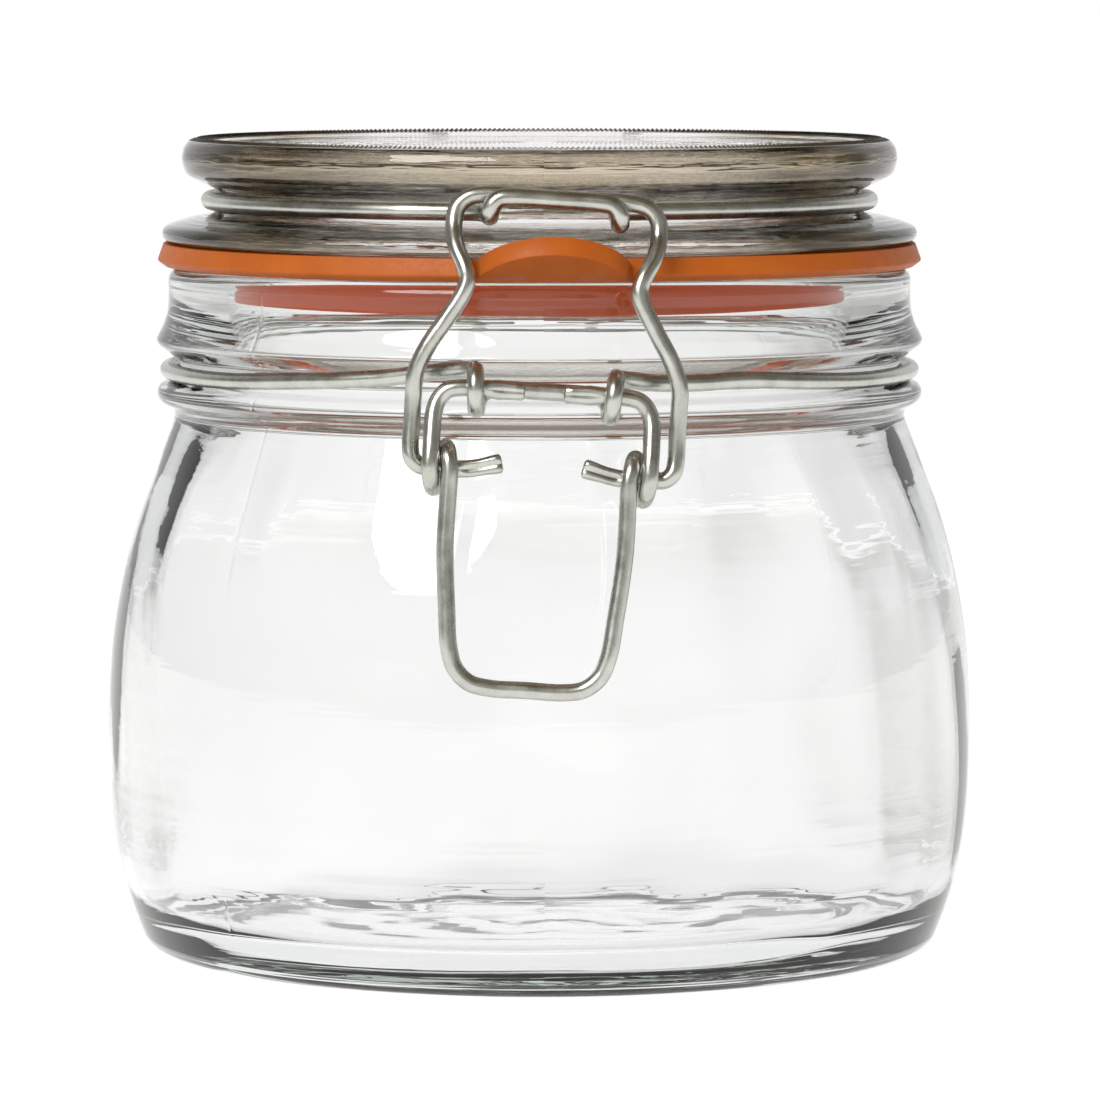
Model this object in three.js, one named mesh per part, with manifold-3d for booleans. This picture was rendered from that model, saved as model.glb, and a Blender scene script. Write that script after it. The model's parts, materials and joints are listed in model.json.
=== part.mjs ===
import * as THREE from 'three';
import { mergeVertices } from 'three/addons/utils/BufferGeometryUtils.js';
import Module from 'manifold-3d';

// Half-litre glass preserving jar with a wire bail clamp. Millimetres, +Z up.
// The origin is the centre of the foot ring. The clamp is at -Y and the lid's hinge is at +Y.

// Glass jar
const footRadius = 48.3;
const footRecess = 0.9;
const bodyRadius = 55.4;
const bodyWidestHeight = 27.5;
const neckWaistRadius = 46.7;
const neckWaistHeight = 68.2;
const beadRadius = 1.4;
const beadCentre = [47.55, 70.85];
const grooveRadius = 46.1;
const ridgeTipRadius = 0.8;
const ridgeTip = [48.2, 77.6];
const rimRadius = 47.45;
const rimHeight = 86.8;
const rimRound = 1.6;
const mouthRadius = 39.9;
const mouthRound = 2.4;
const floorHeight = 3.4;
const innerBodyRadius = 51.9;

// Glass lid
const lidTop = 103.3;
const lidRadius = 45.6;
const lidGrooveRadius = 40.55;
const flangeRadius = 48.2;
const flangeUnderside = 90;
const plugRadius = 37.85;
const plugBottom = 84.4;
const lidHollowRadius = 35.6;
const lidCeiling = 97.2;

// Rubber seal with a pull tab
const sealInnerRadius = 39.3;
const sealTopRadius = 48;
const sealBottomRadius = 48.75;
const sealBottom = 87.1;
const sealTop = 89.7;
const lipInnerRadius = 38.2;
const lipOuterRadius = 38.9;
const lipBottom = 84;
const lipDroop = 1.6;
const tabRadius = 10.05;
const tabTipReach = 55.1;
const tabThickness = 2.6;
const tabTilt = 31;
const tabTurn = 1.2;

// Wires
const wireRadius = 1.05;
const lidWireRadius = 1.15;
const wireSides = 8;
const eyeCoilRadius = 2.4;
const neckRingRadius = 47.45;
const neckRingHeight = 73.75;
const lidRingRadius = 42.05;
const lidRingHeight = 95.3;

// Clamp: the eyes are the lever's pivot on the neck wire, the link pivot is the bail's pivot on the lever
const eyeAxis = { y: -52, z: 73.9 };
const linkAxis = { y: -52, z: 64.2 };
const eyeHalfSpan = 8.3;
const clampLean = 3.6;
const bailShift = 0.3;
const leverCoilRadius = 2.45;
const leverCoilOuter = 13.2;
const leverCoilInner = 10.8;
const handleBottom = 38.4;
const handleReach = 56.6;
const hookBar = { y: -49.4, z: 97 };
const bailHalfSpan = 16;
const bailBar = { y: -46.9, z: 97.15 };

// Rear hinge
const rearEyeRadius = 2.55;
const hingeAxis = { y: handleReach - rearEyeRadius, z: 73.75 };
const hingeHalfSpan = 12.5;

const latheSegments = 48;
const ringStep = 7.5;

const radians = THREE.MathUtils.degToRad;
const at = (radius, height) => new THREE.Vector2(radius, height);
const point = (x, y, z) => new THREE.Vector3(x, y, z);

const glass = { color: 0xdfe8e6, roughness: 0.05, metalness: 0 };
const rubber = { color: 0xc8641f, roughness: 0.55, metalness: 0 };
const steel = { color: 0xb4b3a8, roughness: 0.35, metalness: 1 };

const wasm = await Module();
wasm.setup();

// A closed mesh with shared vertices, no collapsed triangles and its faces pointing out
function closed(source) {
  const bare = source.index ? source.toNonIndexed() : source.clone();
  bare.deleteAttribute('normal');
  bare.deleteAttribute('uv');
  const merged = mergeVertices(bare, 1e-3);
  const { array } = merged.index;
  const place = merged.attributes.position;
  const corner = [point(), point(), point()];
  const kept = [];
  let volume = 0;
  for (let i = 0; i < array.length; i += 3) {
    const face = [array[i], array[i + 1], array[i + 2]];
    if (new Set(face).size < 3) continue;
    kept.push(face);
    face.forEach((index, k) => corner[k].fromBufferAttribute(place, index));
    volume += corner[0].dot(corner[1].clone().cross(corner[2]));
  }
  if (volume < 0) kept.forEach((face) => face.reverse());
  merged.setIndex(kept.flat());
  return merged;
}

function named(name, geometry, finish) {
  const flat = geometry.toNonIndexed();
  flat.computeVertexNormals();
  const mesh = new THREE.Mesh(flat, new THREE.MeshStandardMaterial(finish));
  mesh.name = name;
  return mesh;
}

function toSolid(geometry) {
  const vertProperties = new Float32Array(geometry.attributes.position.array);
  const triVerts = new Uint32Array(geometry.index.array);
  return new wasm.Manifold(new wasm.Mesh({ numProp: 3, vertProperties, triVerts }));
}

function fromSolid(solid) {
  const { vertProperties, triVerts } = solid.getMesh();
  const geometry = new THREE.BufferGeometry();
  geometry.setAttribute('position', new THREE.BufferAttribute(vertProperties, 3));
  geometry.setIndex(new THREE.BufferAttribute(triVerts, 1));
  return geometry;
}

// Outline helpers: [radius, height] pairs in, a list of Vector2 out
const smooth = (pairs, steps) => new THREE.SplineCurve(pairs.map((p) => at(...p))).getPoints(steps);

function arc([radius, height], size, from, to, steps) {
  return Array.from({ length: steps + 1 }, (_, i) => {
    const angle = radians(from + ((to - from) * i) / steps);
    return at(radius + size * Math.cos(angle), height + size * Math.sin(angle));
  });
}

function revolved(outline) {
  const apart = outline.filter((p, i) => i === 0 || p.distanceTo(outline[i - 1]) > 1e-3);
  return closed(new THREE.LatheGeometry(apart, latheSegments).rotateX(Math.PI / 2));
}

// A wire's path whose stations are exactly its points, so they can lie closer together in the bends
class WirePath extends THREE.CatmullRomCurve3 {
  getPointAt(u) { return this.getPoint(u); }
  getTangentAt(u) { return this.getTangent(u); }
  getSpacedPoints(divisions) { return this.getPoints(divisions); }
}

function wire(points, radius) {
  const section = new THREE.Shape(
    Array.from({ length: wireSides }, (_, i) => {
      const angle = ((i + 0.5) / wireSides) * 2 * Math.PI;
      return at(radius * Math.cos(angle), radius * Math.sin(angle));
    }),
  );
  const extrudePath = new WirePath(points);
  const steps = points.length - 1;
  return closed(new THREE.ExtrudeGeometry(section, { steps, extrudePath, bevelEnabled: false }));
}

// Part of a coil about an axis along X, from one angle to another while x moves from one side to the other
function coil(axis, radius, [fromAngle, toAngle], [fromX, toX]) {
  const steps = Math.ceil(Math.abs(toAngle - fromAngle) / 30);
  return Array.from({ length: steps + 1 }, (_, i) => {
    const t = i / steps;
    const angle = radians(fromAngle + (toAngle - fromAngle) * t);
    const x = fromX + (toX - fromX) * t;
    return point(x, axis.y + radius * Math.cos(angle), axis.z + radius * Math.sin(angle));
  });
}

// The clamp leans in its own plane, about the middle of the eyes
function lean(p, share = 1) {
  const angle = radians(clampLean * share);
  const rise = p.z - eyeAxis.z;
  const x = p.x * Math.cos(angle) + rise * Math.sin(angle);
  return point(x, p.y, eyeAxis.z + rise * Math.cos(angle) - p.x * Math.sin(angle));
}

// Both halves of a wire from the half at +X, joined at its first point, which is at the middle
function bothSides(half) {
  const mirrored = half.slice(1).map((p) => point(-p.x, p.y, p.z));
  return [...mirrored.reverse(), ...half];
}

function jarBody() {
  const foot = [at(0, footRecess), at(footRadius - 11, footRecess), at(footRadius - 8, 0), at(footRadius, 0)];
  const corner = arc([footRadius, 3.2], 3.2, -90, -35, 4);
  const body = smooth([
    [50.92, 1.36], [52.6, 6], [54.2, 12], [bodyRadius - 0.25, 19.5], [bodyRadius, bodyWidestHeight],
    [54.85, 38.5], [53.5, 47], [51.6, 54.4], [49.5, 60.2], [47.6, 65.5], [neckWaistRadius, neckWaistHeight],
  ], 14);
  const bead = arc(beadCentre, beadRadius, -65, 60, 4);
  const groove = [at(grooveRadius, 72.4), at(grooveRadius, 75), at(47.2, 75.7)];
  const ridge = arc(ridgeTip, ridgeTipRadius, -50, 40, 3);
  const rimSide = smooth([[48.1, 79.6], [47.6, 81.3], [rimRadius, 83.2]], 3);
  const rimOuter = arc([rimRadius - rimRound, rimHeight - rimRound], rimRound, 0, 90, 4);
  const rimInner = arc([mouthRadius + mouthRound, rimHeight - mouthRound], mouthRound, 90, 180, 4);
  const inside = smooth([
    [mouthRadius + 0.1, 79], [40.9, 72.5], [43.3, 66], [46.6, 59], [49.6, 51], [51.3, 42], [innerBodyRadius, 30],
    [51.8, 18], [51.2, 10.5], [49.5, 5.9], [46, 3.9], [40, 3.4],
  ], 15);
  const outline = [foot, corner, body, bead, groove, ridge, rimSide, rimOuter, rimInner, inside, [at(0, floorHeight)]];
  return revolved(outline.flat());
}

function lid() {
  const hollow = smooth([
    [0, lidCeiling], [22, lidCeiling - 0.1], [31.5, lidCeiling - 1.2], [34.8, 93.2], [lidHollowRadius - 0.2, 89],
    [lidHollowRadius, plugBottom + 1],
  ], 8);
  const plug = [at(lidHollowRadius + 0.5, plugBottom), at(plugRadius - 0.5, plugBottom), at(plugRadius, plugBottom + 0.8)];
  const seat = [at(plugRadius + 0.1, flangeUnderside - 1), at(plugRadius + 0.9, flangeUnderside)];
  const edge = arc([flangeRadius - 1.12, flangeUnderside + 1.12], 1.12, -90, 60, 5);
  const flangeTop = [at(46.2, 92.6), at(44, 93.3), at(42, 93.7), at(41.2, 94)];
  const groove = [at(lidGrooveRadius, 94.5), at(lidGrooveRadius, 96.1), at(41.2, 96.7), at(42.4, 97.25)];
  const band = smooth([
    [44.1, 98.05], [45.1, 98.8], [lidRadius, 100.3], [lidRadius - 0.15, 101.8], [lidRadius - 0.8, 102.9],
    [lidRadius - 1.7, lidTop],
  ], 7);
  const dish = [at(lidRadius - 3.2, lidTop), at(lidRadius - 4.6, lidTop - 0.6), at(0, lidTop - 0.6)];
  return revolved([hollow, plug, seat, edge, flangeTop, groove, band, dish].flat());
}

// The seal's pull tab: a round tongue that tilts up and out from the ring
function sealTab() {
  const tongue = new THREE.Shape().absarc(0, -(tabTipReach - tabRadius), tabRadius, 0, 2 * Math.PI);
  const plate = new THREE.ExtrudeGeometry(tongue, { depth: tabThickness, curveSegments: 12, bevelEnabled: false });
  const root = { y: -sealTopRadius, z: (sealBottom + sealTop) / 2 - 0.35 };
  plate.translate(0, -root.y, -tabThickness / 2).rotateX(-radians(tabTilt)).translate(0, root.y, root.z);
  return toSolid(closed(plate.rotateZ(radians(tabTurn))));
}

// The seal's inner lip is folded down round the lid's plug, and hangs lower at the front than at the hinge
function seal() {
  const section = [
    at(lipInnerRadius, lipBottom), at(lipOuterRadius, lipBottom), at(lipOuterRadius, sealBottom - 0.3),
    at(lipOuterRadius + 0.3, sealBottom), at(47.7, sealBottom), at(sealBottomRadius, sealBottom + 0.65),
    at(sealTopRadius, sealTop), at(sealInnerRadius, sealTop), at(sealInnerRadius, sealTop - 0.8),
    at(lipInnerRadius, sealBottom + 0.9), at(lipInnerRadius, lipBottom),
  ];
  const inner = sealTopRadius - 1.5;
  const outer = tabTipReach + 5;
  const trim = [
    at(0, sealBottom - 9), at(outer, sealBottom - 9), at(outer, sealBottom), at(inner, sealBottom),
    at(inner, sealTop + 9), at(0, sealTop + 9),
  ];
  const tab = sealTab().subtract(toSolid(revolved(trim)));
  const ring = revolved(section);
  const points = ring.attributes.position;
  for (let i = 0; i < points.count; i += 1) {
    if (points.getZ(i) > lipBottom + 0.01) continue;
    const towardsFront = 0.5 - points.getY(i) / (2 * lipOuterRadius);
    points.setZ(i, lipBottom - lipDroop * towardsFront);
  }
  return fromSolid(toSolid(ring).add(tab));
}

// The neck wire lies in the groove, climbs a little towards the clamp and leaves the groove for the eyes
function neckRing(fromAngle, toAngle) {
  const count = Math.round((toAngle - fromAngle) / ringStep);
  return Array.from({ length: count + 1 }, (_, i) => {
    const angle = fromAngle + i * ringStep;
    const lift = THREE.MathUtils.smoothstep(60 - angle, 0, 40);
    const radius = neckRingRadius + 1.6 * lift;
    const x = radius * Math.sin(radians(angle));
    const y = -radius * Math.cos(radians(angle));
    return point(x, y, neckRingHeight + 1.3 * lift);
  });
}

function neckWire() {
  const crossDepth = eyeAxis.y + eyeCoilRadius + 0.05;
  const half = [
    point(0, crossDepth, eyeAxis.z),
    point(5, crossDepth, eyeAxis.z),
    point(6.4, crossDepth + 0.05, eyeAxis.z - 0.15),
    point(7.4, crossDepth + 0.02, eyeAxis.z - 0.7),
    ...coil(eyeAxis, eyeCoilRadius, [-40, -290], [eyeHalfSpan - 0.4, eyeHalfSpan + 0.3]),
    point(9.4, -50.3, 76.05),
    point(10.7, -49.5, 75.9),
    point(13.2, -48.2, 75.55),
    ...neckRing(22.5, 150),
    point(19.4, 43.5, neckRingHeight + 0.05),
    point(16.2, 46, neckRingHeight + 0.3),
    point(13, 48.6, neckRingHeight + 0.8),
    point(10.9, 50.7, neckRingHeight + 1.3),
    ...coil(hingeAxis, rearEyeRadius, [140, -160], [9.8, 8.4]),
  ];
  const held = (p) => (p.y < 0 ? 1 - THREE.MathUtils.smoothstep(Math.abs(p.x), eyeHalfSpan + 1, 24) : 0);
  return wire(bothSides(half).map((p) => lean(p, held(p))), wireRadius);
}

// The lid wire hugs the lid's groove; at the front it is bent into a hook, at the rear into two hinge legs
function lidWire() {
  const ring = [];
  for (let angle = 18; angle <= 159; angle += ringStep) {
    const turn = radians(angle);
    ring.push(point(lidRingRadius * Math.sin(turn), -lidRingRadius * Math.cos(turn), lidRingHeight));
  }
  const x = hingeHalfSpan;
  const half = [
    point(0, hookBar.y, hookBar.z),
    point(5.4, hookBar.y, hookBar.z),
    point(6.7, hookBar.y, hookBar.z - 0.2),
    point(7.5, hookBar.y, hookBar.z - 0.9),
    point(7.8, hookBar.y + 0.15, hookBar.z - 1.75),
    point(7.85, hookBar.y + 0.9, hookBar.z - 2.35),
    point(7.9, hookBar.y + 2, hookBar.z - 2.4),
    point(8, -45.3, 94.75),
    point(8.3, -43.6, 95.05),
    point(9.1, -42.2, 95.25),
    point(10.6, -41.1, lidRingHeight),
    ...ring,
    point(13.9, 39.9, lidRingHeight),
    point(x + 0.35, 40.6, lidRingHeight),
    point(x, 41.8, lidRingHeight),
    point(x, 44, lidRingHeight),
    point(x, 47, lidRingHeight - 0.3),
    point(x, 49.6, 93.8),
    point(x, 51.4, 91.4),
    point(x, 52.7, 88),
    point(x, 53.7, 83),
    point(x, hingeAxis.y, 78),
    point(x, hingeAxis.y, hingeAxis.z + 2),
    point(x - 0.5, hingeAxis.y, hingeAxis.z + 0.6),
    point(x - 1.7, hingeAxis.y, hingeAxis.z),
    point(3.5, hingeAxis.y, hingeAxis.z),
  ];
  const held = (p) => (p.y < 0 ? THREE.MathUtils.smoothstep(-p.y, 41, 46) : 0);
  return wire(bothSides(half).map((p) => lean(p, held(p))), lidWireRadius);
}

// The lever turns in the eyes on two inward pins, holds the bail in a coil on each side and ends in a handle
function lever() {
  const { y, z } = eyeAxis;
  const bottom = handleBottom;
  const half = [
    point(0, -handleReach, bottom),
    point(4.4, -handleReach, bottom),
    point(6.9, -handleReach, bottom + 0.5),
    point(8.7, -handleReach + 0.05, bottom + 2.1),
    point(9.6, -handleReach + 0.15, bottom + 4.6),
    point(10.15, -55.9, 47.5),
    point(10.8, -55.1, 55),
    point(leverCoilInner, -54.6, 61.5),
    ...coil(linkAxis, leverCoilRadius, [540, 180], [leverCoilInner, leverCoilOuter]),
    point(leverCoilOuter, -54.15, 66.3),
    point(leverCoilOuter, -53.3, 68.7),
    point(leverCoilOuter - 0.1, y - 0.5, z - 2.9),
    point(leverCoilOuter - 0.6, y - 0.1, z - 1.4),
    point(leverCoilOuter - 1.5, y, z - 0.4),
    point(leverCoilOuter - 2.8, y, z),
    point(2.6, y, z),
  ];
  return wire(bothSides(half).map((p) => lean(p)), wireRadius);
}

// The bail's bar sits in the lid wire's hook; its legs narrow beside the tab, bow out and turn in as pins
function bail() {
  const { y, z } = linkAxis;
  const half = [
    point(0, bailBar.y, bailBar.z),
    point(8.6, bailBar.y, bailBar.z),
    point(10.8, bailBar.y - 0.05, bailBar.z - 0.5),
    point(12.1, bailBar.y - 0.25, bailBar.z - 1.8),
    point(12.4, bailBar.y - 0.8, bailBar.z - 3.9),
    point(11.9, -49.5, 90.6),
    point(10.8, -50.8, 88.4),
    point(10.4, -51.2, 86.9),
    point(10.8, -51.4, 85.3),
    point(12.7, -51.5, 81.9),
    point(14.7, -51.6, 78.6),
    point(15.9, -51.5, 75.4),
    point(bailHalfSpan, -51.3, 72.5),
    point(bailHalfSpan, -51.4, 69),
    point(bailHalfSpan, -51.7, z + 2.2),
    point(bailHalfSpan - 0.3, y + 0.05, z + 0.9),
    point(bailHalfSpan - 1.2, y, z + 0.1),
    point(bailHalfSpan - 2.6, y, z),
    point(9.2, y, z),
    point(5.1, y, z + 0.9),
  ];
  return wire(bothSides(half).map((p) => lean(point(p.x + bailShift, p.y, p.z))), wireRadius);
}

const jar = new THREE.Group();
jar.add(
  named('jar_body', jarBody(), glass),
  named('neck_wire', neckWire(), steel),
  named('lid', lid(), glass),
  named('gasket', seal(), rubber),
  named('lid_wire', lidWire(), steel),
  named('lever', lever(), steel),
  named('bail', bail(), steel),
);

export default jar;
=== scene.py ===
import json
import math

import bmesh
import bpy
import numpy as np
from mathutils import Matrix, Vector


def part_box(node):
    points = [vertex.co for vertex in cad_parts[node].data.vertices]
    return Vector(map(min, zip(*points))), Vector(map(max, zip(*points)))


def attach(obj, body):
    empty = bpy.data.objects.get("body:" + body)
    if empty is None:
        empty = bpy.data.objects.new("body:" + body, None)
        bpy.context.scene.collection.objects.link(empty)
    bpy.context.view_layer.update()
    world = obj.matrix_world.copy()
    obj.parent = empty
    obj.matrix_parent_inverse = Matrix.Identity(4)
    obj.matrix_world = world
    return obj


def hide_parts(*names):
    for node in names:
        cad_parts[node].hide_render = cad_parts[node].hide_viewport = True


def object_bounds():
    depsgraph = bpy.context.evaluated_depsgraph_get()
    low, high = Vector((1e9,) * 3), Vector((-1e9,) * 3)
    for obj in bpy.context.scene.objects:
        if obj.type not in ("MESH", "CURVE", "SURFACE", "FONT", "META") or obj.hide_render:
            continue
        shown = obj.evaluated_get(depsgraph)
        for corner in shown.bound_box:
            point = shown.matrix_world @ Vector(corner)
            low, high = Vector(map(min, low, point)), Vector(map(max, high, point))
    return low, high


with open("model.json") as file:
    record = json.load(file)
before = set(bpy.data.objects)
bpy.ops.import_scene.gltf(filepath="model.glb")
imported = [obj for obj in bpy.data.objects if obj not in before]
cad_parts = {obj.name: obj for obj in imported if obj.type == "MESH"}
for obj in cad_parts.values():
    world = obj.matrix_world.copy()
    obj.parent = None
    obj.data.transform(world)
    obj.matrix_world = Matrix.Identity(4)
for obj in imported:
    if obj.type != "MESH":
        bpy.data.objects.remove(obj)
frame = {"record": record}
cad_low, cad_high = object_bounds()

# Shapes are worked out in millimetres, as in the CAD source, and stored in metres.
MM = 0.001

JOINTS = {joint["name"]: joint for joint in frame["record"]["behaviour"]["joints"]}
EYE = np.array(JOINTS["lever_lift"]["pos_m"]) / MM
HINGE = np.array(JOINTS["lid_hinge"]["pos_m"]) / MM
LEAN = math.degrees(math.asin(JOINTS["lever_lift"]["axis"][2]))
_, JAR_HIGH = (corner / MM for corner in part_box("jar_body"))
LID_LOW, LID_HIGH = (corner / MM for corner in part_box("lid"))

WIRE_RADIUS = 1.05
LID_WIRE_RADIUS = 1.15


# ---------------------------------------------------------------- camera

def make_camera():
    """Long lens, a little above the lid and a little to the left of the clamp."""
    distance, height, azimuth = 0.840, 0.126, math.radians(0.66)
    pitch, aim_right = math.radians(5.15), math.radians(0.0916)
    data = bpy.data.cameras.new("camera")
    data.lens = 215.0
    data.sensor_width = 36.0
    data.clip_start = 0.01
    camera = bpy.data.objects.new("camera", data)
    camera.location = (-distance * math.sin(azimuth), -distance * math.cos(azimuth), height)
    camera.rotation_euler = (math.pi / 2 - pitch, 0, -azimuth - aim_right)
    bpy.context.scene.collection.objects.link(camera)
    bpy.context.scene.camera = camera


# ---------------------------------------------------------------- curves and outlines

def spline(pairs, steps):
    """A uniform Catmull-Rom curve through [radius, height] pairs."""
    pts = np.array(pairs, float)
    ext = np.vstack([pts[0], pts, pts[-1]])
    out = []
    for t in np.linspace(0, len(pts) - 1, steps + 1):
        i = min(int(t), len(pts) - 2)
        u = t - i
        p0, p1, p2, p3 = ext[i:i + 4]
        v0, v1 = (p2 - p0) / 2, (p3 - p1) / 2
        cubic, square = 2 * p1 - 2 * p2 + v0 + v1, 3 * p2 - 3 * p1 - 2 * v0 - v1
        out.append(cubic * u ** 3 + square * u ** 2 + v0 * u + p1)
    return [tuple(p) for p in out]


def arc(centre, size, start, end, steps):
    angles = np.radians(np.linspace(start, end, steps + 1))
    return [(centre[0] + size * math.cos(a), centre[1] + size * math.sin(a)) for a in angles]


def softened(points, steps):
    """The centripetal Catmull-Rom curve that the CAD wires follow, with more stations."""
    shortest_step = 0.35
    pts = [np.array(p, float) for p in points]
    ext = [2 * pts[0] - pts[1]] + pts + [2 * pts[-1] - pts[-2]]
    out = [pts[0]]
    for i in range(len(pts) - 1):
        p0, p1, p2, p3 = ext[i:i + 4]
        d0, d1, d2 = (math.sqrt(np.linalg.norm(b - a)) for a, b in ((p0, p1), (p1, p2), (p2, p3)))
        t1 = ((p1 - p0) / d0 - (p2 - p0) / (d0 + d1) + (p2 - p1) / d1) * d1
        t2 = ((p2 - p1) / d1 - (p3 - p1) / (d1 + d2) + (p3 - p2) / d2) * d1
        count = max(2, min(steps, round(np.linalg.norm(p2 - p1) / shortest_step)))
        cubic, square = 2 * (p1 - p2) + t1 + t2, 3 * (p2 - p1) - 2 * t1 - t2
        for u in np.linspace(0, 1, count + 1)[1:]:
            out.append(cubic * u ** 3 + square * u ** 2 + t1 * u + p1)
    return np.array(out)


def smoothstep(value, low, high):
    t = np.clip((value - low) / (high - low), 0, 1)
    return t * t * (3 - 2 * t)


# ---------------------------------------------------------------- meshes

SAME_POINT = 1e-4
ON_AXIS = 1e-6


def mesh_piece(name, verts, faces, uvs, material, body, node):
    """A smooth-shaded piece that rides on a body in place of a CAD node. uvs has one pair per face corner."""
    mesh = bpy.data.meshes.new(name)
    mesh.from_pydata((np.asarray(verts) * MM).tolist(), [], faces)
    mesh.validate()
    layer = mesh.uv_layers.new(name="run")
    layer.data.foreach_set("uv", np.asarray(uvs, float).ravel())
    mesh.shade_smooth()
    mesh.materials.append(material)
    piece = bpy.data.objects.new(name, mesh)
    bpy.context.scene.collection.objects.link(piece)
    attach(piece, body)
    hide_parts(node)
    return piece


def without_repeats(outline):
    return [p for i, p in enumerate(outline) if i == 0 or math.dist(p, outline[i - 1]) > SAME_POINT]


def lathe(outline, angles, warp=None):
    """Turns an outline about +Z. It runs from axis to axis, or is closed on itself.
    warp(r, z, angle) moves the points."""
    outline = without_repeats(outline)
    closed = math.dist(outline[0], outline[-1]) < SAME_POINT
    rings = np.array([p for p in outline[:-1 if closed else None] if p[0] > ON_AXIS])
    a = np.asarray(angles)[:, None]
    r, z = (np.repeat(column[None, :], len(a), 0) for column in rings.T)
    if warp is not None:
        r, z = warp(r, z, a)
    verts = np.stack([r * np.sin(a), -r * np.cos(a), z], -1).reshape(-1, 3).tolist()
    n, m = len(rings), len(a)
    loop = np.vstack([rings, rings[:1]])
    length = np.concatenate([[0], np.cumsum(np.linalg.norm(np.diff(loop, axis=0), axis=1))]) * MM
    around = np.append(a[:, 0], a[0, 0] + 2 * math.pi) / (2 * math.pi)
    faces, uvs = [], []
    for i in range(m):
        k = (i + 1) % m
        for j in range(n if closed else n - 1):
            q = (j + 1) % n
            faces.append((i * n + j, k * n + j, k * n + q, i * n + q))
            u0, u1, v0, v1 = around[i], around[i + 1], length[j], length[j + 1]
            uvs += [(u0, v0), (u1, v0), (u1, v1), (u0, v1)]
    for row, end in () if closed else ((0, outline[0]), (n - 1, outline[-1])):
        verts.append([0, 0, end[1]])
        tip = len(verts) - 1
        for i in range(m):
            ring = (i * n + row, (i + 1) % m * n + row)
            faces.append((tip, ring[1], ring[0]) if row == 0 else (tip, ring[0], ring[1]))
            uvs += [(around[i], length[row])] * 3
    return verts, faces, uvs


def full_turn(count, extra=()):
    """Even angles over a full turn, with extra ones where the surface has a fine feature."""
    even = np.arange(count) * 2 * math.pi / count
    fine = np.radians([(middle + step) % 360 for middle, steps in extra for step in steps])
    return np.unique(np.round(np.concatenate([even, fine]), 7))


def tube(path, radius, sides, squeeze=None):
    """Sweeps a round section along a path and rounds its ends a little.
    squeeze(distance to the nearer end, outward direction) scales the section."""
    path = np.asarray(path)
    tangent = np.gradient(path, axis=0)
    tangent /= np.linalg.norm(tangent, axis=1)[:, None]
    step = np.linalg.norm(np.diff(path, axis=0), axis=1)
    run = np.concatenate([[0], np.cumsum(step)])
    side = np.cross(tangent[0], (0.3, 0.2, 1.0))
    side /= np.linalg.norm(side)
    verts = []
    turn = np.arange(sides) * 2 * math.pi / sides
    chamfer, end_size = 0.25, 0.72
    stations = [(i, run[i], 1.0) for i in range(len(path))]
    stations = [(0, run[0], end_size)] + stations + [(len(path) - 1, run[-1], end_size)]
    for index, along, end_scale in stations:
        t = tangent[index]
        side = side - t * np.dot(side, t)
        side /= np.linalg.norm(side)
        other = np.cross(t, side)
        centre = path[index].copy()
        if end_scale < 1:
            centre += t * (-chamfer if along == 0 else chamfer)
        out = np.cos(turn)[:, None] * side + np.sin(turn)[:, None] * other
        scale = np.full(sides, radius * end_scale)
        if squeeze is not None:
            scale = scale * squeeze(min(along, run[-1] - along), out)
        verts.append(centre + out * scale[:, None])
    rings = len(verts)
    runs = np.array([s[1] for s in stations]) * MM
    verts = np.vstack(verts).tolist()
    faces, uvs = [], []
    for i in range(rings - 1):
        for j in range(sides):
            k = (j + 1) % sides
            faces.append((i * sides + j, i * sides + k, (i + 1) * sides + k, (i + 1) * sides + j))
            v0, v1 = j / sides, (j + 1) / sides
            uvs += [(runs[i], v0), (runs[i], v1), (runs[i + 1], v1), (runs[i + 1], v0)]
    for row, flip in ((0, True), (rings - 1, False)):
        loop = [row * sides + j for j in range(sides)]
        faces.append(tuple(reversed(loop)) if flip else tuple(loop))
        uvs += [(runs[row], 0.5)] * sides
    return verts, faces, uvs


def wire_piece(name, stations, radius, body, squeeze=None):
    verts, faces, uvs = tube(softened(stations, 9), radius, 40, squeeze)
    mesh_piece(name + "_drawn_wire", verts, faces, uvs, MATERIALS["wire"], body, name)


def grooved_ends(depth, reach, flare=0.1, swell=0.0):
    """Stamped wire ends: a V groove front and back, a slight flare, and a taller part behind them."""
    groove_width = 0.85

    def squeeze(distance, out):
        share = 1 - smoothstep(distance, reach * 0.8, reach)
        away = np.arccos(np.clip(np.abs(out[:, 1]), 0, 1))
        groove = np.clip(1 - away / groove_width, 0, 1)
        behind = math.exp(-(((distance - reach * 0.85) / (reach * 0.3)) ** 2))
        tall = swell * behind * (np.abs(out[:, 2]) - 0.4)
        flared = flare * (1 - smoothstep(distance, 0.4, 2.5))
        return 1 + share * (flared - depth * groove) + tall
    return squeeze


# ---------------------------------------------------------------- materials

def new_material(name):
    material = bpy.data.materials.new(name)
    material.use_nodes = True
    tree = material.node_tree
    tree.nodes.clear()
    return material, tree


def add(tree, kind, inputs=None, **settings):
    """A node with its settings, and with each input set to a value or linked from another node's output."""
    node = tree.nodes.new(kind)
    for key, value in settings.items():
        setattr(node, key, value)
    for key, value in (inputs or {}).items():
        if isinstance(value, bpy.types.NodeSocket):
            tree.links.new(value, node.inputs[key])
        else:
            node.inputs[key].default_value = value
    return node


def ramp(tree, factor, stops):
    node = add(tree, "ShaderNodeValToRGB", {"Fac": factor})
    elements = node.color_ramp.elements
    while len(elements) < len(stops):
        elements.new(0.5)
    for element, (position, colour) in zip(elements, stops):
        element.position = position
        element.color = (*colour, 1)
    return node.outputs["Color"]


def grey(level):
    return (level, level, level)


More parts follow.
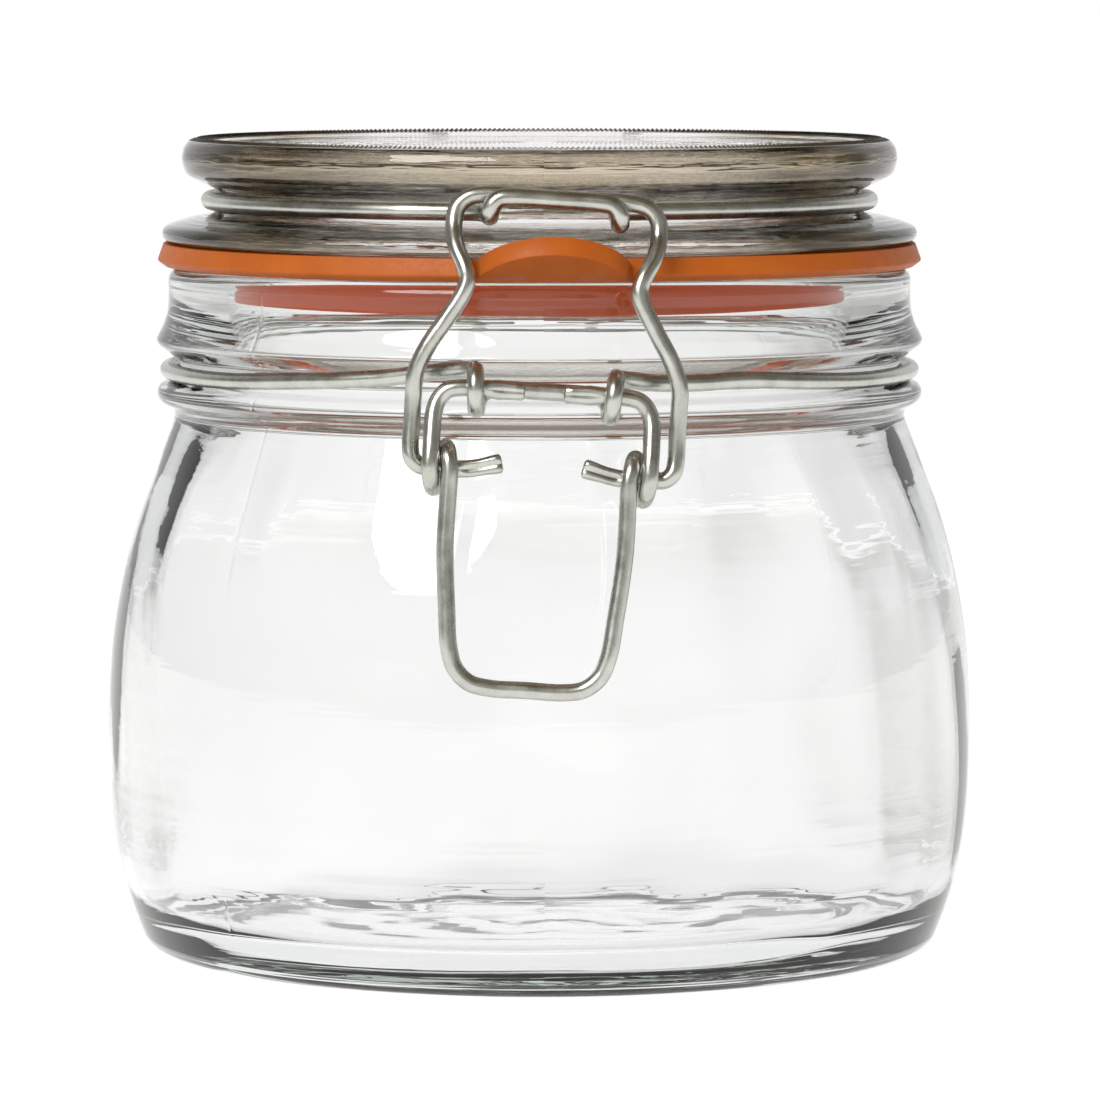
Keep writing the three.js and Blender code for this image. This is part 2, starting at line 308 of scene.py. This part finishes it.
def step_up(tree, value, low, high):
    """A smooth rise from 0 to 1 as value goes from low to high."""
    return add(tree, "ShaderNodeMapRange", {"Value": value, "From Min": low, "From Max": high},
               interpolation_type="SMOOTHSTEP").outputs[0]


def maths(tree, operation, first, second=0.0):
    return add(tree, "ShaderNodeMath", {0: first, 1: second}, operation=operation).outputs[0]


def blend(tree, share, first, second):
    return add(tree, "ShaderNodeMix", {0: share, 6: first, 7: second}, data_type="RGBA").outputs[2]


# Where the painted shade on the streaks comes in, in metres: the distance from the middle, and the radius of
# the outer band.
SHADE_STARTS = (0.018, 0.033)
SHADE_BAND = (0.037, 0.041)


def make_glass(name, tint, density, streak_scale, streak_depth, shade=None):
    """Pressed glass with streaks that run round the piece.
    streak_scale is their frequency per turn and per metre of outline. The last argument is a (dark, light)
    pair of
    colours for painted shade: the streaks of the outer band are darkened at the left and right of the piece,
    standing in for the dark surroundings seen through the glass there."""
    material, tree = new_material(name)
    place = add(tree, "ShaderNodeTexCoord").outputs["Object"]
    run = add(tree, "ShaderNodeUVMap", uv_map="run").outputs[0]
    stretched = add(tree, "ShaderNodeMapping", {"Vector": run, "Scale": (*streak_scale, 1.0)})
    streaks = add(tree, "ShaderNodeTexNoise", {"Vector": stretched.outputs[0], "Scale": 1.0, "Detail": 2.0})
    haze = add(tree, "ShaderNodeTexNoise", {"Vector": place, "Scale": 60.0, "Detail": 4.0})
    colour = ramp(tree, haze.outputs["Fac"], [(0.3, (0.975, 0.98, 0.975)), (0.7, grey(1.0))])
    # Painted shade: darker streaks at the left and right of the outer band, in place of dark surroundings
    # seen through it.
    if shade is not None:
        across = maths(tree, "ABSOLUTE", add(tree, "ShaderNodeSeparateXYZ", {"Vector": place}).outputs["X"])
        flat = add(tree, "ShaderNodeVectorMath", {0: place, 1: (1.0, 1.0, 0.0)}, operation="MULTIPLY")
        radius = add(tree, "ShaderNodeVectorMath", {0: flat.outputs[0]}, operation="LENGTH").outputs["Value"]
        sides, band = step_up(tree, across, *SHADE_STARTS), step_up(tree, radius, *SHADE_BAND)
        painted_shade_share = maths(tree, "MULTIPLY", sides, band)
        dark, light = shade
        streaked = ramp(tree, streaks.outputs["Fac"], [(0.42, dark), (0.58, light)])
        colour = blend(tree, painted_shade_share, colour, streaked)
    rough = ramp(tree, haze.outputs["Fac"], [(0.35, grey(0.0)), (0.75, grey(0.03))])
    coarse = add(tree, "ShaderNodeBump", {
        "Height": streaks.outputs["Fac"], "Strength": 1.0, "Distance": streak_depth,
    })
    orange_peel = add(tree, "ShaderNodeTexNoise", {"Vector": place, "Scale": 95.0, "Detail": 2.0})
    bump = add(tree, "ShaderNodeBump", {
        "Height": orange_peel.outputs["Fac"], "Strength": 0.1, "Distance": 0.0004,
        "Normal": coarse.outputs["Normal"],
    })
    shader = add(tree, "ShaderNodeBsdfPrincipled", {
        "Base Color": colour, "Roughness": rough, "Normal": bump.outputs["Normal"],
        "Transmission Weight": 1.0, "IOR": 1.5,
    })
    inside = add(tree, "ShaderNodeVolumeAbsorption", {"Color": (*tint, 1), "Density": density})
    add(tree, "ShaderNodeOutputMaterial", {"Surface": shader.outputs[0], "Volume": inside.outputs[0]})
    return material


def make_wire():
    """Dull plated wire: fine lines drawn along it, and faint patches where the plating is thinner."""
    material, tree = new_material("plated_wire")
    run = add(tree, "ShaderNodeUVMap", uv_map="run").outputs[0]
    place = add(tree, "ShaderNodeTexCoord").outputs["Object"]
    stretched = add(tree, "ShaderNodeMapping", {"Vector": run, "Scale": (150.0, 26.0, 1.0)})
    lines = add(tree, "ShaderNodeTexNoise", {"Vector": stretched.outputs[0], "Scale": 1.0, "Detail": 4.0})
    patches = add(tree, "ShaderNodeTexNoise", {
        "Vector": place, "Scale": 330.0, "Detail": 5.0, "Roughness": 0.6,
    })
    colour = ramp(tree, patches.outputs["Fac"], [(0.3, (0.47, 0.475, 0.425)), (0.65, (0.62, 0.63, 0.585))])
    both = maths(tree, "ADD", lines.outputs["Fac"], patches.outputs["Fac"])
    rough = ramp(tree, maths(tree, "MULTIPLY", both, 0.5), [(0.35, grey(0.22)), (0.65, grey(0.36))])
    bump = add(tree, "ShaderNodeBump", {"Height": lines.outputs["Fac"], "Strength": 0.3, "Distance": 0.00003})
    shader = add(tree, "ShaderNodeBsdfPrincipled", {
        "Base Color": colour, "Metallic": 1.0, "Roughness": rough, "Normal": bump.outputs["Normal"],
    })
    add(tree, "ShaderNodeOutputMaterial", {"Surface": shader.outputs[0]})
    return material


def make_rubber():
    """Matt orange rubber, with painted light on the lip below the ring: a brighter, stronger orange there."""
    material, tree = new_material("orange_rubber")
    place = add(tree, "ShaderNodeTexCoord").outputs["Object"]
    cloud = add(tree, "ShaderNodeTexNoise", {
        "Vector": place, "Scale": 140.0, "Detail": 5.0, "Roughness": 0.6,
    })
    speck = add(tree, "ShaderNodeTexNoise", {"Vector": place, "Scale": 1900.0, "Detail": 3.0})
    colour = ramp(tree, cloud.outputs["Fac"], [(0.3, (0.54, 0.118, 0.010)), (0.7, (0.64, 0.150, 0.014))])
    up = add(tree, "ShaderNodeSeparateXYZ", {"Vector": place}).outputs["Z"]
    # Painted light: the lip below the ring is the same rubber in shade, painted a brighter, stronger orange.
    lip_top, ring_bottom, lip_painted_light = 0.0860, 0.0869, (1.0, 0.125, 0.001, 1.0)
    colour = blend(tree, step_up(tree, up, lip_top, ring_bottom), lip_painted_light, colour)
    rough = ramp(tree, speck.outputs["Fac"], [(0.3, grey(0.42)), (0.7, grey(0.6))])
    height = maths(tree, "ADD", cloud.outputs["Fac"], speck.outputs["Fac"])
    bump = add(tree, "ShaderNodeBump", {"Height": height, "Strength": 0.25, "Distance": 0.00008})
    shader = add(tree, "ShaderNodeBsdfPrincipled", {
        "Base Color": colour, "Roughness": rough, "Normal": bump.outputs["Normal"],
        "Specular IOR Level": 0.35,
    })
    add(tree, "ShaderNodeOutputMaterial", {"Surface": shader.outputs[0]})
    return material


MATERIALS = {
    "jar_glass": make_glass("jar_glass", (0.83, 0.86, 0.83), 38.0, (5.0, 500.0), 0.00003),
    # The lid's last pair of colours is painted shade for the left and right of its outer band.
    "lid_glass": make_glass("lid_glass", (0.80, 0.735, 0.62), 26.0, (20.0, 1100.0), 0.00014,
                            ((0.06, 0.042, 0.014), (0.52, 0.45, 0.32))),
    "wire": make_wire(),
    "rubber": make_rubber(),
}


# ---------------------------------------------------------------- glass

SEAMS = (-47.0, 133.0)
SEAM_STEPS = (-1.2, -0.7, -0.45, -0.3, -0.15, 0, 0.15, 0.3, 0.45, 0.7, 1.2)


def seam_relief(angle, height):
    """A fine raised line on each side, where the halves of the mould met."""
    away = [np.degrees((angle - math.radians(seam) + math.pi) % (2 * math.pi) - math.pi) for seam in SEAMS]
    return height * sum(np.exp(-((side / 0.3) ** 2)) for side in away)


def inner_wall_waves(z, a):
    upright = 0.09 * np.sin(9 * a + 1.7 * np.sin(z * 0.07) + 0.4)
    upright = upright + 0.07 * np.sin(17 * a + 1.3 * np.sin(z * 0.11 + 2)) + 0.04 * np.sin(29 * a + z * 0.06)
    return upright * smoothstep(z, 6, 14) * (1 - smoothstep(z, 60, 72))


def outer_wall_waves(z, a):
    """Waves, and the small step inwards that keeps them and the seams inside the CAD outline."""
    waves = 0.05 * np.sin(5 * a + z * 0.1) + 0.035 * np.sin(13 * a - 0.9 * np.sin(z * 0.09))
    seams = seam_relief(a, 0.035) * smoothstep(z, 3, 8) * (1 - smoothstep(z, 84, 85.5))
    step = 0.06 * smoothstep(z, 4, 12)
    return waves * smoothstep(z, 4, 12) * (1 - smoothstep(z, 60, 68)) - step + seams


def floor_ripples(r, z, a, flow):
    rings = 0.2 * np.sin(0.5 * flow) + 0.1 * np.sin(1.1 * flow + 1.0 + np.cos(2 * a))
    tilt = 0.35 * np.sin(a + 0.5) * smoothstep(r, 15, 40)
    return rings * (1 - smoothstep(z, 4, 8)) + tilt * (1 - smoothstep(z, 5, 12))


def jar_warp(inside_from):
    """Mould seams outside; upright waves in the wall and rings of ripples in the floor inside.
    inside_from is the first outline point of the inside."""
    def warp(r, z, a):
        inside = (np.arange(r.shape[1]) >= inside_from)[None, :]
        flow = r + 5.0 * np.cos(a + 0.9) + 1.8 * np.sin(3 * a) + 0.9 * np.sin(7 * a + 0.1 * r)
        under = 0.1 * np.sin(0.8 * flow + 2 * np.sin(2 * a)) * (r < 38) * (z < 2)
        radial = np.where(inside, inner_wall_waves(z, a), outer_wall_waves(z, a))
        upward = np.where(inside, floor_ripples(r, z, a, flow), under)
        return r + radial * smoothstep(r, 30, 38), z + upward * smoothstep(r, 2, 10)
    return warp


def make_jar():
    body_radius, rim_height = JAR_HIGH.x, JAR_HIGH.z
    foot, groove, rim, rim_round, mouth, mouth_round = 48.3, 46.1, 47.45, 1.6, 39.9, 2.4
    outline = [(0, 0.9), (foot - 20, 0.9), (foot - 11, 0.9)]
    outline += spline([(foot - 11, 0.9), (foot - 9.6, 0.75), (foot - 8.4, 0.2), (foot - 7.4, 0)], 8)
    outline += [(foot - 3, 0), (foot - 0.4, 0)]
    outline += arc((foot, 3.2), 3.2, -90, -35, 10)
    outline += spline([
        (50.92, 1.36), (52.6, 6), (54.2, 12), (body_radius - 0.25, 19.5), (body_radius, 27.5),
        (54.85, 38.5), (53.5, 47), (51.6, 54.4), (49.5, 60.2), (47.6, 65.5), (46.75, 67.9),
    ], 60)
    outline += spline([(46.75, 68.2), (47.1, 69.0), (48.1, 69.55)], 6)
    outline += arc((47.55, 70.85), 1.4, -60, 62, 10)
    outline += spline([
        (47.4, 72.35), (46.5, 72.8), (groove, 73.6), (groove, 74.6), (46.4, 75.3), (47.2, 75.75),
    ], 14)
    outline += arc((48.2, 77.6), 0.8, -50, 40, 7)
    outline += spline([
        (48.55, 78.7), (48.1, 79.6), (47.6, 81.3), (rim, 83.2), (rim, rim_height - rim_round),
    ], 16)
    outline += arc((rim - rim_round, rim_height - rim_round), rim_round, 0, 90, 8)
    outline += arc((mouth + mouth_round, rim_height - mouth_round), mouth_round, 90, 180, 10)
    inside_from = sum(p[0] > ON_AXIS for p in without_repeats(outline))
    outline += spline([
        (mouth, 84.2), (mouth + 0.1, 79), (40.9, 72.5), (43.3, 66), (46.6, 59), (49.6, 51), (51.3, 42),
        (51.9, 30), (51.8, 18), (51.2, 10.5), (49.5, 5.9), (46, 3.9), (40, 3.4), (20, 3.4), (0.0, 3.4),
    ], 120)
    angles = full_turn(288, [(seam, SEAM_STEPS) for seam in SEAMS])
    verts, faces, uvs = lathe(outline, angles, jar_warp(inside_from))
    mesh_piece("jar_pressed_glass", verts, faces, uvs, MATERIALS["jar_glass"], "jar", "jar_body")


def make_lid():
    lid_top, flange, plug_bottom = LID_HIGH.z, LID_HIGH.x, LID_LOW.z
    band, groove, plug, hollow, underside = 45.6, 40.55, 37.85, 35.6, 90.0
    outline = spline([
        (0, 97.2), (22, 97.1), (31.5, 96.0), (34.8, 93.2), (35.4, 89), (hollow, plug_bottom + 0.9),
    ], 36)
    outline += arc((hollow + 0.7, plug_bottom + 0.7), 0.7, 180, 270, 5)
    outline += arc((plug - 0.7, plug_bottom + 0.7), 0.7, 270, 360, 5)
    outline += spline([(plug, 86.5), (plug + 0.1, 88.6), (plug + 0.35, 89.5), (plug + 1.2, underside)], 8)
    outline += [(41, underside), (43, underside), (46, underside)]
    outline += arc((flange - 1.12, underside + 1.12), 1.12, -90, 50, 12)
    outline += spline([
        (47.5, 92.15), (46.2, 92.65), (44, 93.25), (42, 93.65), (41.0, 94.05), (groove, 94.7), (groove, 95.8),
        (41.0, 96.55), (42.4, 97.25), (44.1, 98.05), (45.1, 98.8), (band, 100.3), (band - 0.15, 101.8),
        (band - 0.75, 102.75), (band - 1.35, 103.1),
    ], 60)
    outline += arc((band - 2.1, lid_top - 0.65), 0.65, 50, 150, 6)
    outline += spline([
        (band - 3.4, 102.75), (band - 4.6, 102.45), (band - 7, 102.35), (20, 102.5), (0, 102.6),
    ], 24)
    teeth, tooth_height = 420, 0.26

    def warp(r, z, a):
        crest = (z > 102.7) & (r > band - 3.4) & (r < band - 1.0)
        wave = 0.05 * np.sin(2 * a + 0.6) + 0.04 * np.sin(7 * a + z * 0.3)
        wave = wave * (r < 40) * (z < 97) * smoothstep(r, 5, 20)
        soft = 0.10 * np.sin(3 * a + 1.1) + 0.07 * np.sin(5 * a + 0.35 * r)
        soft = soft * smoothstep(r, 4, 14) * (r < 35) * (z < 100)
        tooth = np.cos(teeth * a)
        return (r + crest * 0.06 * tooth + wave,
                z - crest * tooth_height * (0.5 + 0.5 * tooth) + soft)

    verts, faces, uvs = lathe(outline, full_turn(teeth * 4), warp)
    mesh_piece("lid_pressed_glass", verts, faces, uvs, MATERIALS["lid_glass"], "lid", "lid")


# ---------------------------------------------------------------- seal

TAB_RADIUS = 10.05


def seal_ring():
    """The ring's slanted edge, and the inner lip that is folded down round the plug, lower at the front."""
    low, high, top_radius = 86.95, 89.85, 48.0
    lip_in, lip_out, lip_low = 38.15, 38.95, 83.2
    droop = 0.8
    outline = [
        (lip_in, lip_low + 0.1), (lip_in + 0.1, lip_low), (lip_out - 0.1, lip_low), (lip_out, lip_low + 0.1),
        (lip_out, 85.3), (lip_out, low - 0.3), (lip_out + 0.3, low), (41, low), (45, low), (47.6, low),
        (47.8, low + 0.04), (48.62, 87.6), (48.7, 87.75), (48.69, 87.9), (48.4, 88.7), (48.08, 89.62),
        (top_radius, 89.8), (top_radius - 0.15, high), (46, high), (42, high), (39.6, high),
        (39.3, high - 0.2), (39.2, 88.9), (lip_in + 0.1, 88.1), (lip_in, 87.9), (lip_in, lip_low + 0.1),
    ]

    def warp(r, z, a):
        lip = (1 - smoothstep(z, 84, 86.5)) * (r < lip_out + 0.01)
        uneven_edge, uneven_face = 0.03 * np.sin(4 * a) * (r > 45), 0.03 * np.sin(3 * a + 1) * (r > 40)
        return r + uneven_edge, z - droop * np.cos(a) * lip + uneven_face

    return lathe(outline, full_turn(360), warp)


def seal_tab():
    """The pull tab, a round tongue with crisp edges, before it is tilted and cut to fit the ring."""
    radius, half = TAB_RADIUS, 1.3
    lower = [(0, -half), (4, -half)]
    lower += [(radius - 0.2, -half), (radius - 0.06, -half + 0.06), (radius, -half + 0.2)]
    upper = [(r, -z) for r, z in reversed(lower)]
    return lathe(lower + upper, full_turn(144))


def loose_object(name, verts, faces):
    mesh = bpy.data.meshes.new(name)
    mesh.from_pydata((np.asarray(verts) * MM).tolist(), [], faces)
    return bpy.data.objects.new(name, mesh)


def make_seal():
    reach, tilt, turn, ring_radius = 55.1, 31.0, 1.2, 48
    root = Vector((0, -ring_radius, (87.1 + 89.7) / 2 - 0.35))
    outwards = Vector((0, ring_radius - reach + TAB_RADIUS, 0))
    ring = loose_object("seal_rubber", *seal_ring()[:2])
    tab = loose_object("tab_cutter", *seal_tab()[:2])
    place = (Matrix.Rotation(math.radians(turn), 4, "Z") @ Matrix.Translation(root * MM)
             @ Matrix.Rotation(-math.radians(tilt), 4, "X") @ Matrix.Translation(outwards * MM))
    shape = bmesh.new()
    shape.from_mesh(tab.data)
    shape.transform(place)
    for point, normal in ((Vector((0, 0, 87.0)), (0, 0, -1)), (Vector((0, -45.5, 0)), (0, 1, 0))):
        everything = shape.verts[:] + shape.edges[:] + shape.faces[:]
        cut = bmesh.ops.bisect_plane(shape, geom=everything, plane_co=point * MM, plane_no=normal,
                                     clear_outer=True)["geom_cut"]
        rim = [part for part in cut if isinstance(part, bmesh.types.BMEdge)]
        bmesh.ops.contextual_create(shape, geom=rim)
    shape.to_mesh(tab.data)
    shape.free()
    for part in (ring, tab):
        bpy.context.scene.collection.objects.link(part)
    join = ring.modifiers.new("join", "BOOLEAN")
    join.operation, join.solver, join.object = "UNION", "EXACT", tab
    merged = bpy.data.meshes.new_from_object(ring.evaluated_get(bpy.context.evaluated_depsgraph_get()))
    ring.modifiers.clear()
    ring.data = merged
    bpy.data.objects.remove(tab)
    merged.materials.clear()
    merged.materials.append(MATERIALS["rubber"])
    merged.shade_smooth()
    merged.set_sharp_from_angle(angle=math.radians(32))
    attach(ring, "lid")
    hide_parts("gasket")


# ---------------------------------------------------------------- wires

EYE_COIL = 2.4
LINK_DROP = 9.7
EYE_HALF_SPAN = 8.3
NECK_RING = (47.45, 73.75)
LID_RING = (42.05, 95.3)
HANDLE_REACH = HINGE[1] + 2.55
HANDLE_BOTTOM = 38.4
LEVER_COIL = (2.45, 13.2, 10.8)
BAIL_SPAN = 16.0
BAIL_SHIFT = 0.3
RING_STEP = 7.5


def lean(p, share=1.0):
    """The clamp leans in its own plane, about the middle of the eyes."""
    angle = math.radians(LEAN * share)
    rise = p[2] - EYE[2]
    return (p[0] * math.cos(angle) + rise * math.sin(angle), p[1],
            EYE[2] + rise * math.cos(angle) - p[0] * math.sin(angle))


def both_sides(half):
    return [(-x, y, z) for x, y, z in half[:0:-1]] + list(half)


def coil(centre, radius, turn, sideways):
    steps = math.ceil(abs(turn[1] - turn[0]) / 30)
    out = []
    for i in range(steps + 1):
        t = i / steps
        angle = math.radians(turn[0] + (turn[1] - turn[0]) * t)
        x = sideways[0] + (sideways[1] - sideways[0]) * t
        out.append((x, centre[0] + radius * math.cos(angle), centre[1] + radius * math.sin(angle)))
    return out


def make_neck_wire():
    eye = (EYE[1], EYE[2])
    depth = EYE[1] + EYE_COIL + 0.05
    half = [(0, depth, EYE[2]), (5, depth, EYE[2]), (6.4, depth + 0.05, EYE[2] - 0.15),
            (7.4, depth + 0.02, EYE[2] - 0.7)]
    half += coil(eye, EYE_COIL, (-40, -290), (EYE_HALF_SPAN - 0.4, EYE_HALF_SPAN + 0.3))
    half += [(9.4, -50.3, 76.05), (10.7, -49.5, 75.9), (13.2, -48.2, 75.55)]
    ring_radius, ring_height = NECK_RING
    for i in range(18):
        angle = 22.5 + i * RING_STEP
        lift = float(smoothstep(60 - angle, 0, 40))
        radius, turn = ring_radius + 1.6 * lift, math.radians(angle)
        half.append((radius * math.sin(turn), -radius * math.cos(turn), ring_height + 1.3 * lift))
    half += [(19.4, 43.5, ring_height + 0.05), (16.2, 46, ring_height + 0.3), (13, 48.6, ring_height + 0.8),
             (10.9, 50.7, ring_height + 1.3)]
    half += coil((HINGE[1], HINGE[2]), 2.55, (140, -160), (9.8, 8.4))
    stations = []
    for p in both_sides(half):
        held = 1 - smoothstep(abs(p[0]), EYE_HALF_SPAN + 1, 24) if p[1] < 0 else 0
        stations.append(lean(p, held))
    wire_piece("neck_wire", stations, WIRE_RADIUS, "jar")


def make_lid_wire():
    y, z = -49.4, 97.0
    half = [(0, y, z), (5.4, y, z), (6.7, y, z - 0.2), (7.5, y, z - 0.9), (7.8, y + 0.15, z - 1.75),
            (7.85, y + 0.9, z - 2.35), (7.9, y + 2, z - 2.4), (8, -45.3, 94.75), (8.3, -43.6, 95.05),
            (9.1, -42.2, 95.25), (10.6, -41.1, LID_RING[1])]
    for angle in np.arange(18, 159, RING_STEP):
        turn = math.radians(angle)
        half.append((LID_RING[0] * math.sin(turn), -LID_RING[0] * math.cos(turn), LID_RING[1]))
    x, top = 12.5, LID_RING[1]
    hy, hz = HINGE[1], HINGE[2]
    half += [(13.9, 39.9, top), (x + 0.35, 40.6, top), (x, 41.8, top), (x, 44, top), (x, 47, top - 0.3),
             (x, 49.6, 93.8), (x, 51.4, 91.4), (x, 52.7, 88), (x, 53.7, 83), (x, hy, 78), (x, hy, hz + 2),
             (x - 0.5, hy, hz + 0.6), (x - 1.7, hy, hz), (3.5, hy, hz)]
    stations = []
    for p in both_sides(half):
        held = smoothstep(-p[1], 41, 46) if p[1] < 0 else 0
        stations.append(lean(p, held))
    wire_piece("lid_wire", stations, LID_WIRE_RADIUS, "lid", grooved_ends(0.3, 3.5))


def make_lever():
    y, z = EYE[1], EYE[2]
    size, outer, inner = LEVER_COIL
    reach, bottom = HANDLE_REACH, HANDLE_BOTTOM
    half = [(0, -reach, bottom), (4.4, -reach, bottom), (6.9, -reach, bottom + 0.5),
            (8.7, -reach + 0.05, bottom + 2.1), (9.6, -reach + 0.15, bottom + 4.6), (10.15, -55.9, 47.5),
            (10.8, -55.1, 55), (inner, -54.6, 61.5)]
    half += coil((y, z - LINK_DROP), size, (540, 180), (inner, outer))
    half += [(outer, -54.15, 66.3), (outer, -53.3, 68.7), (outer - 0.1, y - 0.5, z - 2.9),
             (outer - 0.6, y - 0.1, z - 1.4), (outer - 1.5, y, z - 0.4), (outer - 2.8, y, z), (2.6, y, z)]
    stations = [lean(p) for p in both_sides(half)]
    wire_piece("lever", stations, WIRE_RADIUS, "lever", grooved_ends(0.25, 3.4, 0.03, 0.3))


def make_bail():
    y, z = EYE[1], EYE[2] - LINK_DROP
    by, bz, span = -46.9, 97.15, BAIL_SPAN
    half = [(0, by, bz), (8.6, by, bz), (10.8, by - 0.05, bz - 0.5), (12.1, by - 0.25, bz - 1.8),
            (12.4, by - 0.8, bz - 3.9), (11.9, -49.5, 90.6), (10.8, -50.8, 88.4), (10.4, -51.2, 86.9),
            (10.8, -51.4, 85.3), (12.7, -51.5, 81.9), (14.7, -51.6, 78.6), (15.9, -51.5, 75.4),
            (span, -51.3, 72.5), (span, -51.4, 69), (span, -51.7, z + 2.2), (span - 0.3, y + 0.05, z + 0.9),
            (span - 1.2, y, z + 0.1), (span - 2.6, y, z), (9.2, y, z), (5.1, y, z + 0.9)]
    stations = [lean((p[0] + BAIL_SHIFT, p[1], p[2])) for p in both_sides(half)]
    wire_piece("bail", stations, WIRE_RADIUS, "bail", grooved_ends(0.55, 5.2, 0.12))


# ---------------------------------------------------------------- floor and light

def make_floor():
    """A pale floor, a little darker to the left and right of the jar where it is seen through glass."""
    size = 3.0
    corners = [(-size, -size, 0), (size, -size, 0), (size, size, 0), (-size, size, 0)]
    mesh = bpy.data.meshes.new("floor")
    mesh.from_pydata(corners, [], [(0, 1, 2, 3)])
    floor = bpy.data.objects.new("floor", mesh)
    floor.location.z = cad_low.z - 0.0002
    bpy.context.scene.collection.objects.link(floor)
    material, tree = new_material("pale_floor")
    place = add(tree, "ShaderNodeTexCoord").outputs["Object"]
    grain = add(tree, "ShaderNodeTexNoise", {"Vector": place, "Scale": 30.0, "Detail": 3.0})
    colour = ramp(tree, grain.outputs["Fac"], [(0.3, grey(0.40)), (0.7, grey(0.42))])
    axes = add(tree, "ShaderNodeSeparateXYZ", {"Vector": place})
    across, far = axes.outputs["X"], step_up(tree, axes.outputs["Y"], 0.4, 2.2)
    right = step_up(tree, across, 0.03, 0.22)
    left = step_up(tree, maths(tree, "MULTIPLY", across, -1.0), 0.10, 0.34)
    path = add(tree, "ShaderNodeLightPath")
    behind_glass = blend(tree, left, (0.80, 0.80, 0.82, 1), (0.42, 0.42, 0.43, 1))
    behind_glass = blend(tree, right, behind_glass, (0.36, 0.36, 0.37, 1))
    behind_glass = blend(tree, far, behind_glass, (1.0, 1.0, 1.01, 1))
    bright = blend(tree, path.outputs["Transmission Depth"], (*grey(0.90), 1), behind_glass)
    glow = blend(tree, path.outputs["Is Diffuse Ray"], bright, (*grey(0.3), 1))
    shader = add(tree, "ShaderNodeBsdfPrincipled", {
        "Base Color": colour, "Roughness": 0.9, "Specular IOR Level": 0.1,
        "Emission Color": glow, "Emission Strength": 1.0,
    })
    add(tree, "ShaderNodeOutputMaterial", {"Surface": shader.outputs[0]})
    mesh.materials.append(material)


def make_room():
    """A white room, brown overhead, dim in front and with a dark panel at each side.
    It is seen in the glass and the wires: the background itself stays white."""
    world = bpy.data.worlds.new("studio")
    bpy.context.scene.world = world
    world.use_nodes = True
    tree = world.node_tree
    tree.nodes.clear()
    direction = add(tree, "ShaderNodeTexCoord").outputs["Generated"]
    axes = add(tree, "ShaderNodeSeparateXYZ", {"Vector": direction}).outputs
    sideways = maths(tree, "ABSOLUTE", axes["X"])
    above = step_up(tree, axes["Z"], 0.30, 0.75)
    beside = step_up(tree, sideways, 0.62, 0.90)
    in_front = step_up(tree, maths(tree, "MULTIPLY", axes["Y"], -1.0), 0.15, 0.6)
    to_the_right = step_up(tree, axes["X"], 0.01, 0.14)
    off_centre = step_up(tree, sideways, 0.03, 0.35)
    path = add(tree, "ShaderNodeLightPath").outputs

    panel = blend(tree, path["Transmission Depth"], (0.20, 0.20, 0.19, 1.0), (0.66, 0.66, 0.67, 1.0))
    behind = blend(tree, to_the_right, (1.07, 1.07, 1.075, 1.0), (0.95, 0.95, 0.955, 1.0))
    walls = blend(tree, off_centre, behind, (0.78, 0.78, 0.79, 1.0))
    walls = blend(tree, in_front, walls, (0.32, 0.32, 0.30, 1.0))
    room = blend(tree, above, blend(tree, beside, walls, panel), (0.15, 0.112, 0.07, 1.0))
    shown = blend(tree, path["Is Camera Ray"], room, (1.0, 1.0, 1.0, 1.0))
    back = add(tree, "ShaderNodeBackground", {"Color": shown, "Strength": 1.0})
    add(tree, "ShaderNodeOutputWorld", {"Surface": back.outputs[0]})
    view = bpy.context.scene.view_settings
    view.view_transform = "Standard"
    view.look = "None"


def make_light(name, place, size, power, in_reflections):
    """A round soft light that points at the jar."""
    data = bpy.data.lights.new(name, "AREA")
    data.shape, data.size, data.energy = "DISK", size, power
    light = bpy.data.objects.new(name, data)
    light.location = place
    light.visible_glossy = in_reflections
    light.visible_transmission = False
    light.rotation_euler = (Vector((0, 0, 0.05)) - light.location).to_track_quat("-Z", "Y").to_euler()
    bpy.context.scene.collection.objects.link(light)


make_camera()
make_jar()
make_lid()
make_seal()
make_neck_wire()
make_lid_wire()
make_lever()
make_bail()
make_floor()
make_room()
make_light("key_light", (-0.9, -1.3, 1.2), 1.1, 24.0, True)
make_light("fill_light", (1.2, -1.2, 0.5), 0.5, 5.0, False)
